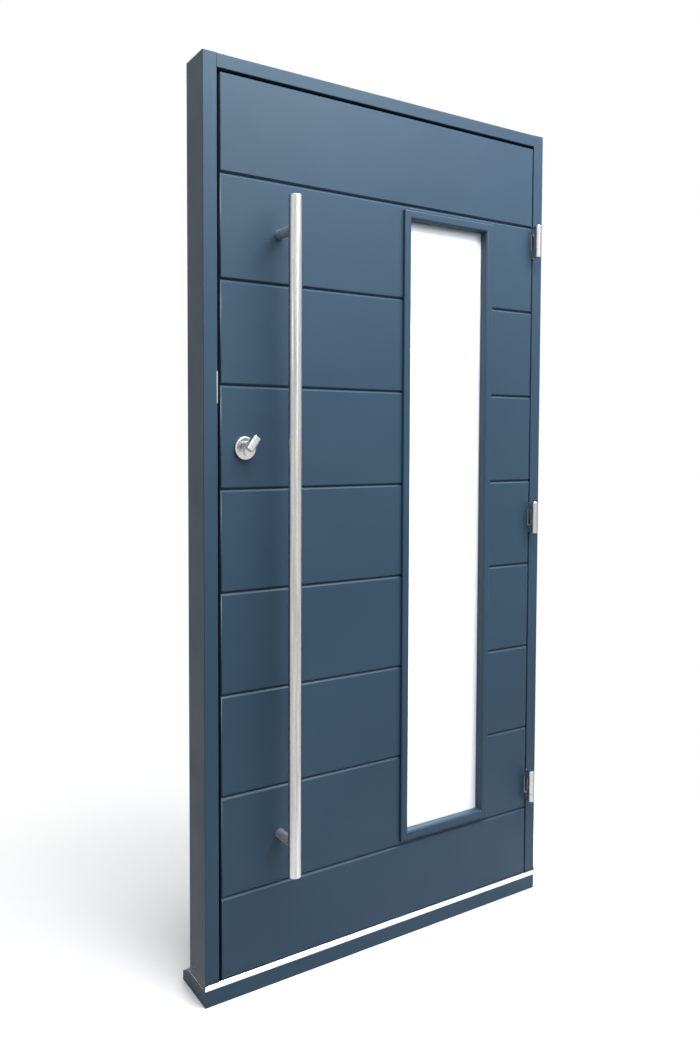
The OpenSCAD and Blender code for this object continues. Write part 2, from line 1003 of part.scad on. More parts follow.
module outer_pull_bar() {
    outer_side()
        inner_pull_bar();
}

module outer_posts() {
    outer_side()
        inner_posts();
}

module handle_bolts() {
    color(zinc)
        for (z = post_z)
            translate([bar_x, -bolt_in_post + run_gap, z])
                rotate([-90, 0, 0])
                    cylinder(h = leaf_t + 2 * (bolt_in_post - run_gap), r = bolt_r);
}

// Lock

// The round-ended faceplate, or the recess for it, which runs past the leaf's edge
module faceplate_blank(over = 0) {
    half = plate_w / 2;
    along_x(leaf_x0 - over, plate_t + over) {
        translate([lock_y - half, plate_z0 + half])
            square([plate_w, plate_z1 - plate_z0 - plate_w]);
        translate([lock_y, plate_z0 + half])
            circle(half);
        translate([lock_y, plate_z1 - half])
            circle(half);
    }
}

// The way of a sliding bolt through the faceplate and the case
module bolt_way(z, h, len) {
    half_t = bolt_t / 2 + guide_gap;
    block([leaf_x0 - eps, lock_y - half_t, z - h / 2 - guide_gap],
          [leaf_x0 + len + guide_gap, lock_y + half_t, z + h / 2 + guide_gap]);
}

module faceplate_screw_places() {
    for (z = plate_screw_z)
        translate([leaf_x0, lock_y, z])
            rotate([0, -90, 0])
                children();
}

module lock_faceplate() {
    color(steel)
        difference() {
            faceplate_blank();
            bolt_way(latch_z, latch_h, bolt_len);
            bolt_way(dead_z, dead_h, bolt_len);
            for (z = hook_z)
                hook_slot(z, leaf_x0 - eps, plate_back_x + eps);
            faceplate_screw_places()
                screw(run_gap);
        }
}

module faceplate_screws() {
    color(steel)
        faceplate_screw_places()
            screw();
}

// Keyhole section of the profile cylinder: a round top on a narrow stem
module euro_section(gap = 0) {
    foot = euro_h - euro_r - stem_w / 2;
    translate([cyl_x, cyl_z]) {
        circle(euro_r + gap);
        translate([-stem_w / 2 - gap, -foot])
            square([stem_w + 2 * gap, foot]);
        translate([0, -foot])
            circle(stem_w / 2 + gap);
    }
}

module on_cylinder_axis(y) {
    translate([cyl_x, y, cyl_z])
        rotate([-90, 0, 0])
            children();
}

// The room for a rod's end in a case, at the case's front
module rod_way(z0, z1) {
    block([rod_x - guide_gap, lock_y - rod_w / 2 - guide_gap, z0],
          [rod_x + rod_t + guide_gap, lock_y + rod_w / 2 + guide_gap, z1]);
}

module lock_case() {
    color(zinc)
        difference() {
            block([plate_back_x, lock_y - case_t / 2, case_z0],
                  [plate_back_x + case_depth, lock_y + case_t / 2, case_z1]);
            bolt_way(latch_z, latch_h, bolt_len);
            bolt_way(dead_z, dead_h, bolt_len);
            along_y(0, leaf_t)
                euro_section(guide_gap);
            on_cylinder_axis(lock_y - cam_slot / 2 - guide_gap)
                cylinder(h = cam_slot + 2 * guide_gap, r = cam_room_r);
            rod_way(case_z1 - rod_room, case_z1 + eps);
            rod_way(case_z0 - eps, case_z0 + rod_room);
        }
}

module hook_case(z, rod_z0, rod_z1) {
    half_t = bolt_t / 2 + guide_gap;
    color(zinc) {
        difference() {
            block([plate_back_x, lock_y - case_t / 2, z - hook_case_low],
                  [plate_back_x + hook_case_depth, lock_y + case_t / 2, z + hook_case_high]);
            block([plate_back_x - eps, lock_y - half_t, z - hook_sweep - guide_gap],
                  [hook_x + hook_boss_r + guide_gap, lock_y + half_t, z + hook_boss_r + guide_gap]);
            rod_way(rod_z0, rod_z1);
        }
        translate([hook_x, lock_y - case_t / 2, z])
            rotate([-90, 0, 0])
                cylinder(h = case_t, r = hook_pin_r);
    }
}

module upper_hook_case() {
    z = hook_z[1];
    hook_case(z, z - hook_case_low - eps, z - hook_sweep - rod_stop);
}

module lower_hook_case() {
    z = hook_z[0];
    hook_case(z, z + hook_case_high - rod_room, z + hook_case_high + eps);
}

// A hook drawn in, hanging from its pivot, with its beak towards the faceplate
module hook(z) {
    half = hook_arm_w / 2;
    beak_top = -hook_reach + hook_beak_len;
    color(zinc)
        translate([hook_x, lock_y - bolt_t / 2, z])
            difference() {
                union() {
                    rotate([-90, 0, 0])
                        cylinder(h = bolt_t, r = hook_boss_r);
                    along_y(0, bolt_t)
                        polygon([[half, 0], [half, -hook_reach], [-half, -hook_reach],
                                 [-half - hook_beak, -hook_reach + hook_bevel], [-half - hook_beak, beak_top],
                                 [-half, beak_top + hook_bevel], [-half, 0]]);
                }
                translate([0, -eps, 0])
                    rotate([-90, 0, 0])
                        cylinder(h = bolt_t + 2 * eps, r = hook_pin_r + run_gap);
            }
}

module upper_hook() {
    hook(hook_z[1]);
}

module lower_hook() {
    hook(hook_z[0]);
}

// A flat rod from z0 to z1, slotted so that it clears the screws it passes by as it moves
module drive_rod(z0, z1, screw_z, slot_down, slot_up) {
    half = screw_r + rod_slot_gap;
    color(zinc)
        difference() {
            block([rod_x, lock_y - rod_w / 2, z0], [rod_x + rod_t, lock_y + rod_w / 2, z1]);
            for (z = screw_z)
                block([rod_x - eps, lock_y - half, z - half - slot_down],
                      [rod_x + rod_t + eps, lock_y + half, z + half + slot_up]);
        }
}

// Each rod lies drawn in towards the centre case, with room to travel into the hook's case
module upper_drive_rod() {
    drive_rod(case_z1 - rod_room + guide_gap, hook_z[1] - hook_sweep - rod_stop - guide_gap - rod_travel,
              [plate_screw_z[3], plate_screw_z[4]], rod_travel, 0);
}

module lower_drive_rod() {
    drive_rod(hook_z[0] + hook_case_high - rod_room + guide_gap + rod_travel, case_z0 + rod_room - guide_gap,
              [plate_screw_z[1], plate_screw_z[2]], 0, rod_travel);
}

// A bolt drawn in, with its nose just inside the faceplate
module sliding_bolt(z, h) {
    block([leaf_x0 + guide_gap, lock_y - bolt_t / 2, z - h / 2],
          [leaf_x0 + bolt_len, lock_y + bolt_t / 2, z + h / 2]);
}

// The latch's outer corner is bevelled, to ride over the keep as the leaf shuts
module latch_bolt() {
    nose_x = leaf_x0 + guide_gap;
    bevel_x = nose_x + latch_throw - latch_flat;
    color(steel)
        difference() {
            sliding_bolt(latch_z, latch_h);
            along_z(latch_z - latch_h, 2 * latch_h)
                polygon([[nose_x - eps, lock_y - bolt_t / 4], [nose_x, lock_y - bolt_t / 4],
                         [bevel_x, lock_y + bolt_t / 2], [bevel_x, lock_y + bolt_t],
                         [nose_x - eps, lock_y + bolt_t]]);
        }
}

module deadbolt() {
    color(steel)
        sliding_bolt(dead_z, dead_h);
}

module cylinder_body() {
    color(steel)
        difference() {
            along_y(cyl_y0, cyl_y1 - cyl_y0)
                euro_section();
            block([cyl_x - euro_r - eps, lock_y - cam_slot / 2, cyl_z - cam_nose_r - cam_clear],
                  [cyl_x + euro_r + eps, lock_y + cam_slot / 2, cyl_z + euro_r + eps]);
            on_cylinder_axis(cyl_y0 - eps)
                cylinder(h = lock_y - cyl_y0 + eps, r = rod_r + run_gap);
            on_cylinder_axis(lock_y)
                cylinder(h = cyl_y1 - lock_y + eps, r = plug_r + run_gap);
        }
}

module key_plug() {
    plug_y0 = lock_y + cam_slot / 2 + guide_gap;
    keyway_w = 2.2;
    keyway_h = 9;
    keyway_depth = 22;
    color(steel)
        difference() {
            on_cylinder_axis(plug_y0)
                cylinder(h = cyl_y1 - plug_y0, r = plug_r);
            block([cyl_x - keyway_w / 2, cyl_y1 - keyway_depth, cyl_z - keyway_h / 2],
                  [cyl_x + keyway_w / 2, cyl_y1 + eps, cyl_z + keyway_h / 2]);
        }
}

module rose() {
    rose_r = rose_dia / 2;
    rose_round = 2.5;
    color(steel)
        difference() {
            translate([cyl_x, 0, cyl_z - rose_drop])
                rotate([90, 0, 0])
                    rotate_extrude()
                        difference() {
                            square([rose_r, rose_t]);
                            corner_cut(rose_r, rose_t, -1, -1, rose_round);
                        }
            along_y(-rose_t - eps, rose_t + 2 * eps)
                euro_section(guide_gap);
        }
}

module inner_rose() {
    rose();
}

module outer_rose() {
    outer_side()
        rose();
}

// Blade of the thumb turn: broadest at the middle, with square ends and a flat face between two slopes
module turn_blade() {
    heel = -turn_heel;
    tip = turn_len - turn_heel;
    end_half = 8;
    belly_half = 9.5;
    face_half = 5.5;
    face_in = 1;
    slope_t = 2;
    base_t = turn_out - hub_len;
    hull() {
        linear_extrude(base_t - slope_t)
            polygon([[-end_half, heel], [end_half, heel], [belly_half, 0],
                     [end_half, tip], [-end_half, tip], [-belly_half, 0]]);
        linear_extrude(base_t)
            polygon([[-face_half, heel + face_in], [face_half, heel + face_in],
                     [face_half, tip - face_in], [-face_half, tip - face_in]]);
    }
}

module thumb_turn() {
    hub_y = cyl_y0 - guide_gap;
    color(steel) {
        on_cylinder_axis(hub_y - hub_len)
            cylinder(h = hub_len, r = hub_r);
        on_cylinder_axis(hub_y - eps)
            cylinder(h = lock_y + cam_t / 2 - hub_y + eps, r = rod_r);
        translate([cyl_x, hub_y - hub_len + eps, cyl_z])
            rotate([0, turn_angle, 0])
                rotate([90, 0, 0])
                    turn_blade();
    }
}

module cylinder_cam() {
    color(zinc)
        along_y(lock_y - cam_t / 2, cam_t)
            translate([cyl_x, cyl_z])
                difference() {
                    union() {
                        circle(cam_r);
                        translate([-cam_nose_w / 2, -cam_nose_r])
                            square([cam_nose_w, cam_nose_r]);
                    }
                    circle(rod_r + run_gap);
                }
}

placed() lock_jamb();
placed() hinge_jamb();
placed() frame_head();
placed() cill();
placed() threshold_bar();
placed() threshold_seal();
placed() jamb_pads();
placed() lock_side_seal();
placed() hinge_side_seal();
placed() head_seal();
placed() latch_keep();
placed() upper_hook_keep();
placed() lower_hook_keep();
placed() keep_screws();
placed() upper_hinge_frame_flap();
placed() middle_hinge_frame_flap();
placed() lower_hinge_frame_flap();
placed() hinge_pins();
placed() hinge_frame_screws();
placed() door_leaf();
placed() inner_pane();
placed() outer_pane();
placed() glazing_spacer();
placed() setting_blocks();
placed() inner_top_bead();
placed() inner_bottom_bead();
placed() inner_lock_bead();
placed() inner_hinge_bead();
placed() outer_top_bead();
placed() outer_bottom_bead();
placed() outer_lock_bead();
placed() outer_hinge_bead();
placed() glazing_tapes();
placed() upper_hinge_leaf_flap();
placed() middle_hinge_leaf_flap();
placed() lower_hinge_leaf_flap();
placed() hinge_leaf_screws();
placed() inner_pull_bar();
placed() inner_posts();
placed() outer_pull_bar();
placed() outer_posts();
placed() handle_bolts();
placed() lock_faceplate();
placed() lock_case();
placed() upper_hook_case();
placed() lower_hook_case();
placed() faceplate_screws();
placed() cylinder_body();
placed() inner_rose();
placed() outer_rose();
placed() key_plug();
placed() weather_bar();
placed() thumb_turn();
placed() cylinder_cam();
placed() latch_bolt();
placed() deadbolt();
placed() upper_hook();
placed() lower_hook();
placed() upper_drive_rod();
placed() lower_drive_rod();
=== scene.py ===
"""Looks of an entrance door set: painted timber, brushed steel, bright aluminium, rubber and glass."""

import json
import logging
import math
from abc import ABC, abstractmethod
from dataclasses import dataclass, field
from enum import Enum

import bmesh
import bpy
from mathutils import Euler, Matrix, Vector

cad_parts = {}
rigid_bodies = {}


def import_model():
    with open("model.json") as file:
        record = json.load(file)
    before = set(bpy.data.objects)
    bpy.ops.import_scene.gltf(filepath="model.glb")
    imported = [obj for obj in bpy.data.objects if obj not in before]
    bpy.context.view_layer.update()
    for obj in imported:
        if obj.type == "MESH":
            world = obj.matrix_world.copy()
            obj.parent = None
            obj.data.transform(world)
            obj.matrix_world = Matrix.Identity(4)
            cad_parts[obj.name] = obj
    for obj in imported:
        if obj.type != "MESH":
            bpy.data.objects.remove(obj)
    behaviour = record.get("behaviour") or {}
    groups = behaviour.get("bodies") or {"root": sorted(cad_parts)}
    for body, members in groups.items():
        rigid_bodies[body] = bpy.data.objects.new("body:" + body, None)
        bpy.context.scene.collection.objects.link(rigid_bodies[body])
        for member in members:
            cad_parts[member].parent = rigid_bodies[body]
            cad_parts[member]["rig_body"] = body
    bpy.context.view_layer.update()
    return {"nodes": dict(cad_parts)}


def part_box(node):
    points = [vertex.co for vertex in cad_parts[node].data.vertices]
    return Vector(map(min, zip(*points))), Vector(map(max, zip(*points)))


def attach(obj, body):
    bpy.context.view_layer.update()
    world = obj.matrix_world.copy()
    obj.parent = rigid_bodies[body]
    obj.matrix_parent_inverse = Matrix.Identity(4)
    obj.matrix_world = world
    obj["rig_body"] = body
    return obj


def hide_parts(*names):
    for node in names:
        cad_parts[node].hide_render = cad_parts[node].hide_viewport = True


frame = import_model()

LOG = logging.getLogger("door_set")
TINY = 1e-6

Colour = tuple[float, float, float]
Point = tuple[float, float, float]
Relief = tuple[float, float]


class Grain(Enum):
    """The direction that the fine lines of a surface run in, as how much each axis squeezes its noise."""

    ALONG_X = (0.02, 1.0, 1.0)
    ALONG_Y = (1.0, 0.02, 1.0)
    ALONG_Z = (1.0, 1.0, 0.02)
    EVEN = (1.0, 1.0, 1.0)


class Side(Enum):
    """Which face of the leaf a piece is on, as the sign of its outward direction along Y."""

    INNER = -1
    OUTER = 1


class NodeGraph:
    """A material's node tree, with short calls for the nodes that the finishes use."""

    NOISE_LOW = 0.3
    NOISE_HIGH = 0.7

    def __init__(self, name: str) -> None:
        """Starts a material with a principled shader.

        Args:
            name: The material's name.
        """
        self.material = bpy.data.materials.new(name)
        self.material.use_nodes = True
        self.tree = self.material.node_tree
        self.shader = self.tree.nodes["Principled BSDF"]
        self.place = self.tree.nodes.new("ShaderNodeTexCoord").outputs["Object"]

    def add(self, kind: str, **inputs: object) -> bpy.types.Node:
        """Adds a node and sets its inputs.

        Args:
            kind: The node's type.
            inputs: A value or an output for each named input, with _ for a space in its name.

        Returns:
            The new node.
        """
        node = self.tree.nodes.new(kind)
        for name, value in inputs.items():
            self.feed(node.inputs[name.replace("_", " ")], value)
        return node

    def feed(self, socket: bpy.types.NodeSocket, value: object) -> None:
        """Links an output to a socket, or sets its value.

        Args:
            socket: The input to feed.
            value: An output socket, or a plain value.
        """
        if isinstance(value, bpy.types.NodeSocket):
            self.tree.links.new(value, socket)
        else:
            socket.default_value = value

    def noise(self, scale: float, grain: Grain = Grain.EVEN, detail: float = 3.0) -> bpy.types.NodeSocket:
        """Noise in the object's own space, drawn out along its grain.

        Args:
            scale: Waves per metre across the grain.
            grain: The direction of the lines.
            detail: How many finer layers the noise has.

        Returns:
            The noise's value, from 0 to 1.
        """
        squeeze = self.add("ShaderNodeVectorMath")
        squeeze.operation = "MULTIPLY"
        self.feed(squeeze.inputs[0], self.place)
        squeeze.inputs[1].default_value = grain.value
        node = self.add("ShaderNodeTexNoise", Vector=squeeze.outputs[0], Scale=scale, Detail=detail)
        return node.outputs["Fac"]

    def spread(self, value: bpy.types.NodeSocket, low: float, high: float) -> bpy.types.NodeSocket:
        """Maps the middle of a noise's range to low and high.

        Args:
            value: The noise.
            low: What its low values become.
            high: What its high values become.

        Returns:
            The mapped value.
        """
        node = self.add("ShaderNodeMapRange", Value=value, To_Min=low, To_Max=high)
        node.inputs["From Min"].default_value = self.NOISE_LOW
        node.inputs["From Max"].default_value = self.NOISE_HIGH
        return node.outputs["Result"]

    def tint(self, value: bpy.types.NodeSocket, dark: Colour, light: Colour) -> bpy.types.NodeSocket:
        """A colour between two, by a noise.

        Args:
            value: The noise.
            dark: The colour at its low values.
            light: The colour at its high values.

        Returns:
            The colour.
        """
        node = self.tree.nodes.new("ShaderNodeMix")
        node.data_type = "RGBA"
        self.feed(node.inputs["Factor"], self.spread(value, 0.0, 1.0))
        node.inputs[6].default_value = (*dark, 1.0)
        node.inputs[7].default_value = (*light, 1.0)
        return node.outputs[2]

    def bump(self, height: bpy.types.NodeSocket, strength: float, depth: float) -> None:
        """Adds a bump over what the shader's normal already has.

        Args:
            height: The relief.
            strength: How much of it is used.
            depth: Its depth in metres.
        """
        node = self.add("ShaderNodeBump", Height=height, Strength=strength, Distance=depth)
        normal = self.shader.inputs["Normal"]
        if normal.is_linked:
            self.feed(node.inputs["Normal"], normal.links[0].from_socket)
        self.feed(normal, node.outputs["Normal"])

    def join(self, operation: str, first: object, second: object) -> bpy.types.NodeSocket:
        """Works out one value from two.

        Args:
            operation: The name of the sum, product or choice.
            first: An output socket, or a plain value.
            second: Another.

        Returns:
            The result.
        """
        node = self.add("ShaderNodeMath")
        node.operation = operation
        self.feed(node.inputs[0], first)
        self.feed(node.inputs[1], second)
        return node.outputs[0]

    def set(self, **inputs: object) -> None:
        """Sets inputs of the principled shader, with _ for a space in a name.

        Args:
            inputs: A value or an output for each named input.
        """
        for name, value in inputs.items():
            self.feed(self.shader.inputs[name.replace("_", " ")], value)


@dataclass(frozen=True)
class Finish(ABC):
    """What a surface is made of. A finish makes its material once and hands it out again."""

    name: str
    slot: str

    def material(self) -> bpy.types.Material:
        """Gives the finish's material.

        Returns:
            The material, made on the first call.
        """
        found = bpy.data.materials.get(self.name)
        if found:
            return found
        graph = NodeGraph(self.name)
        self.paint(graph)
        return graph.material

    @abstractmethod
    def paint(self, graph: NodeGraph) -> None:
        """Builds the finish's nodes.

        Args:
            graph: The material's node tree.
        """


@dataclass(frozen=True)
class SatinPaint(Finish):
    """Sprayed satin paint over timber, with a trace of the grain below it."""

    grain: Grain = Grain.ALONG_X
    dark: Colour = (0.020, 0.048, 0.079)
    light: Colour = (0.026, 0.058, 0.091)
    cloud_scale: float = 3.0
    grain_scale: float = 420.0
    peel_scale: float = 520.0
    sheen_scale: float = 9.0
    smooth: float = 0.42
    rough: float = 0.50
    shine: float = 0.27
    grain_relief: Relief = (0.10, 0.0004)
    peel_relief: Relief = (0.06, 0.0003)

    def paint(self, graph: NodeGraph) -> None:
        """Builds a cloudy tone, the grain's lines and the orange peel of the spray.

        Args:
            graph: The material's node tree.
        """
        cloud = graph.noise(self.cloud_scale, detail=4.0)
        lines = graph.noise(self.grain_scale, self.grain, detail=4.0)
        peel = graph.noise(self.peel_scale, detail=2.0)
        sheen = graph.noise(self.sheen_scale, detail=3.0)
        graph.set(Base_Color=graph.tint(cloud, self.dark, self.light))
        graph.set(Roughness=graph.spread(sheen, self.smooth, self.rough), Specular_IOR_Level=self.shine)
        graph.bump(lines, *self.grain_relief)
        graph.bump(peel, *self.peel_relief)


@dataclass(frozen=True)
class BrushedSteel(Finish):
    """Stainless steel with broad streaks and fine brush lines along one direction."""

    grain: Grain = Grain.ALONG_Z
    dark: Colour = (0.44, 0.435, 0.425)
    light: Colour = (0.58, 0.575, 0.565)
    smooth: float = 0.24
    rough: float = 0.36
    streak_scale: float = 300.0
    line_scale: float = 2600.0
    line_relief: Relief = (0.12, 0.0001)

    def paint(self, graph: NodeGraph) -> None:
        """Builds the streaks in the tone, and the brush lines in the roughness and the relief.

        Args:
            graph: The material's node tree.
        """
        streaks = graph.noise(self.streak_scale, self.grain, detail=5.0)
        lines = graph.noise(self.line_scale, self.grain, detail=5.0)
        graph.set(Base_Color=graph.tint(streaks, self.dark, self.light), Metallic=1.0)
        graph.set(Roughness=graph.spread(lines, self.smooth, self.rough))
        graph.bump(lines, *self.line_relief)


@dataclass(frozen=True)
class MillAluminium(Finish):
    """Bright extruded aluminium, with the die's lines along its length."""

    dark: Colour = (0.78, 0.785, 0.79)
    light: Colour = (0.90, 0.90, 0.905)
    smooth: float = 0.22
    rough: float = 0.34
    line_scale: float = 1800.0
    bloom_scale: float = 60.0
    line_relief: Relief = (0.10, 0.0001)

    def paint(self, graph: NodeGraph) -> None:
        """Builds the die lines and a light bloom.

        Args:
            graph: The material's node tree.
        """
        lines = graph.noise(self.line_scale, Grain.ALONG_X, detail=4.0)
        bloom = graph.noise(self.bloom_scale, Grain.ALONG_X)
        graph.set(Base_Color=graph.tint(lines, self.dark, self.light), Metallic=1.0)
        graph.set(Roughness=graph.spread(bloom, self.smooth, self.rough))
        graph.bump(lines, *self.line_relief)


@dataclass(frozen=True)
class ZincPlate(Finish):
    """Zinc-plated steel, with a cool bloom."""

    dark: Colour = (0.50, 0.52, 0.53)
    light: Colour = (0.66, 0.66, 0.64)
    smooth: float = 0.30
    rough: float = 0.46
    bloom_scale: float = 70.0
    sheen_scale: float = 400.0
    grain_scale: float = 900.0
    grain_relief: Relief = (0.08, 0.0001)

    def paint(self, graph: NodeGraph) -> None:
        """Builds the bloom of the plating and its fine grain.

        Args:
            graph: The material's node tree.
        """
        bloom = graph.noise(self.bloom_scale, detail=4.0)
        graph.set(Base_Color=graph.tint(bloom, self.dark, self.light), Metallic=1.0)
        graph.set(Roughness=graph.spread(graph.noise(self.sheen_scale), self.smooth, self.rough))
        graph.bump(graph.noise(self.grain_scale), *self.grain_relief)


@dataclass(frozen=True)
class BlackRubber(Finish):
    """Matt black extruded rubber."""

    dark: Colour = (0.010, 0.010, 0.011)
    light: Colour = (0.022, 0.022, 0.023)
    smooth: float = 0.62
    rough: float = 0.78
    shine: float = 0.3
    dust_scale: float = 45.0
    grain_scale: float = 1400.0
    grain_relief: Relief = (0.15, 0.0002)

    def paint(self, graph: NodeGraph) -> None:
        """Builds a dusty tone and a fine relief.

        Args:
            graph: The material's node tree.
        """
        dust = graph.noise(self.dust_scale, detail=5.0)
        graph.set(Base_Color=graph.tint(dust, self.dark, self.light))
        graph.set(Roughness=graph.spread(dust, self.smooth, self.rough), Specular_IOR_Level=self.shine)
        graph.bump(graph.noise(self.grain_scale), *self.grain_relief)


@dataclass(frozen=True)
class SmearedSealant(Finish):
    """Dark sealant, smoothed by hand and still a little shiny."""

    dark: Colour = (0.006, 0.007, 0.009)
    light: Colour = (0.022, 0.026, 0.032)
    smooth: float = 0.28
    rough: float = 0.46
    shine: float = 0.35
    smear_scale: float = 160.0
    sheen_scale: float = 240.0
    smear_relief: Relief = (0.5, 0.0006)

    def paint(self, graph: NodeGraph) -> None:
        """Builds the smears in the tone, the gloss and the relief.

        Args:
            graph: The material's node tree.
        """
        smear = graph.noise(self.smear_scale, detail=5.0)
        sheen = graph.noise(self.sheen_scale)
        graph.set(Base_Color=graph.tint(smear, self.dark, self.light))
        graph.set(Roughness=graph.spread(sheen, self.smooth, self.rough), Specular_IOR_Level=self.shine)
        graph.bump(smear, *self.smear_relief)


@dataclass(frozen=True)
class ClearGlass(Finish):
    """Clear float glass with the faintest smear of cleaning."""

    bend: float = 1.5
    smooth: float = 0.0
    rough: float = 0.015
    smear_scale: float = 6.0

    def paint(self, graph: NodeGraph) -> None:
        """Builds clear glass whose gloss varies a little.

        Args:
            graph: The material's node tree.
        """
        smear = graph.noise(self.smear_scale, detail=4.0)
        graph.set(Base_Color=(1.0, 1.0, 1.0, 1.0), Transmission_Weight=1.0, IOR=self.bend)
        graph.set(Roughness=graph.spread(smear, self.smooth, self.rough))


@dataclass(frozen=True)
class SatinGlass(Finish):
    """Glass with a white satin interlayer, which lets light through and hides what is behind it."""

    dark: Colour = (0.96, 0.965, 0.965)
    light: Colour = (0.98, 0.98, 0.98)
    bend: float = 1.5
    passing: float = 0.3
    mirror: Colour = (0.3, 0.3, 0.3)
    smooth: float = 0.02
    rough: float = 0.05
    cloud_scale: float = 5.0
    smear_scale: float = 6.0

    def paint(self, graph: NodeGraph) -> None:
        """Builds the interlayer's cloudy white under the glass's gloss.

        Args:
            graph: The material's node tree.
        """
        cloud = graph.noise(self.cloud_scale, detail=4.0)
        smear = graph.noise(self.smear_scale, detail=4.0)
        graph.set(Base_Color=graph.tint(cloud, self.dark, self.light), IOR=self.bend)
        graph.set(Transmission_Weight=self.passing, Specular_Tint=(*self.mirror, 1.0))
        graph.set(Roughness=graph.spread(smear, self.smooth, self.rough))


BOARD_PAINT = SatinPaint("slate_paint_boards", "slate_paint", Grain.ALONG_X)
POST_PAINT = SatinPaint("slate_paint_posts", "slate_paint", Grain.ALONG_Z)
BAR_STEEL = BrushedSteel(
    "stainless_upright", "brushed_stainless", Grain.ALONG_Z, (0.40, 0.395, 0.385), (0.66, 0.655, 0.645),
)
POST_STEEL = BrushedSteel("stainless_posts", "brushed_stainless", Grain.ALONG_Y, smooth=0.46, rough=0.60)
PLATE_STEEL = BrushedSteel("stainless_plates", "brushed_stainless", Grain.ALONG_Z)
SATIN_STEEL = BrushedSteel(
    "stainless_satin", "brushed_stainless", Grain.EVEN, (0.56, 0.555, 0.545), (0.62, 0.615, 0.605),
)
ALUMINIUM = MillAluminium("aluminium_mill", "threshold_aluminium")
ZINC = ZincPlate("zinc_plate", "zinc_steel")
RUBBER = BlackRubber("rubber_matt", "black_rubber")
SEALANT = SmearedSealant("dark_sealant", "black_rubber")
INNER_GLASS = SatinGlass("satin_glass", "clear_glass")
OUTER_GLASS = ClearGlass("float_glass", "clear_glass")


@dataclass(frozen=True)
class EdgeRound:
    """How the outward edges of a piece are eased. Inward corners stay sharp.

    Args:
        width: Width of the easing in metres.
        segments: Steps across it.
        shortest: Length of the shortest edge that is eased, so that round rims stay as they are.
        angle: Least angle between two faces, in degrees, at which their edge is eased.
    """

    width: float
    segments: int = 3
    shortest: float = 0.008
    angle: float = 32.0

    def apply(self, bm: bmesh.types.BMesh) -> None:
        """Eases the outward edges of a mesh.

        Args:
            bm: The mesh to ease.
        """
        least = math.radians(self.angle)
        edges = [
            edge for edge in bm.edges
            if edge.is_convex and edge.calc_length() > self.shortest and edge.calc_face_angle(0.0) > least
        ]
        bmesh.ops.bevel(
            bm, geom=edges, offset=self.width, offset_type="OFFSET", segments=self.segments, profile=0.5,
            affect="EDGES", clamp_overlap=False,
        )


TIMBER_EDGE = EdgeRound(0.0012)
LEAF_EDGE = EdgeRound(0.001, segments=3)
BEAD_EDGE = EdgeRound(0.0006, segments=2, shortest=0.015)
PLATE_EDGE = EdgeRound(0.0003, segments=2, shortest=0.010)
HINGE_EDGE = EdgeRound(0.0005, segments=2, shortest=0.0008)
TURN_EDGE = EdgeRound(0.0006, segments=3, shortest=0.0025, angle=20.0)
CYLINDER_EDGE = EdgeRound(0.0003, segments=2, shortest=0.006)
GLASS_EDGE = EdgeRound(0.0004, segments=2)


